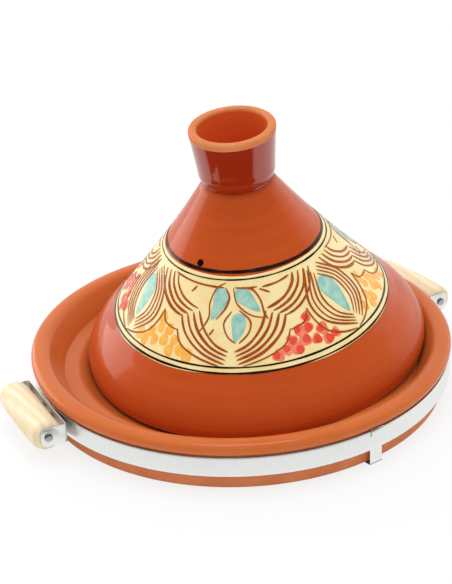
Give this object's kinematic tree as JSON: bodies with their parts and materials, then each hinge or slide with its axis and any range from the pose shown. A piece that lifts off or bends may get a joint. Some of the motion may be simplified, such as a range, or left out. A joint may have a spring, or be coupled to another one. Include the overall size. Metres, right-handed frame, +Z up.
{
  "type": "tagine",
  "caption": "Glazed terracotta tagine with a painted conical lid, a cup knob and a shallow dish held in a steel band carrier with wooden grips.",
  "frame": {"origin": "on the table, under the middle of the dish", "axes": "+X to the right, along the line through the two grips, +Z up, and +Y to the back"},
  "size_m": [0.3794, 0.3236, 0.2179],
  "materials": {
    "dish_terracotta": "clear glaze inside and on the rim, bare clay outside",
    "lid_terracotta": "clear glaze over red clay with a painted band",
    "galvanised_steel": "galvanised",
    "fastener_steel": "plain",
    "grip_wood": "bare turned wood"
  },
  "bodies": {
    "carrier": {"hoop_band": "galvanised_steel", "under_strap": "galvanised_steel", "bracket_left": "galvanised_steel", "bracket_right": "galvanised_steel", "bracket_rivet_left_front": "fastener_steel", "bracket_rivet_left_rear": "fastener_steel", "bracket_rivet_right_front": "fastener_steel", "bracket_rivet_right_rear": "fastener_steel", "hoop_rivet_lower": "fastener_steel", "hoop_rivet_upper": "fastener_steel"},
    "dish": {"base_dish": "dish_terracotta"},
    "lid": {"lid": "lid_terracotta"},
    "left_grip": {"grip_left": "grip_wood", "nail_left_front": "fastener_steel", "nail_left_rear": "fastener_steel"},
    "right_grip": {"grip_right": "grip_wood", "nail_right_front": "fastener_steel", "nail_right_rear": "fastener_steel"}
  },
  "joints": [
    {"name": "dish_lift", "type": "slide", "parent": "carrier", "child": "dish", "axis": [0, 0, 1], "range_m": [0, 0.08]},
    {"name": "lid_lift", "type": "slide", "parent": "dish", "child": "lid", "axis": [0, 0, 1], "range_m": [0, 0.2]},
    {"name": "left_grip_spin", "type": "hinge", "parent": "carrier", "child": "left_grip", "pos_m": [-0.17499, 0.01685, 0.0219], "axis": [0.0958, 0.9954, 0], "continuous": true},
    {"name": "right_grip_spin", "type": "hinge", "parent": "carrier", "child": "right_grip", "pos_m": [0.17499, 0.01685, 0.0219], "axis": [-0.0958, 0.9954, 0], "continuous": true}
  ]
}
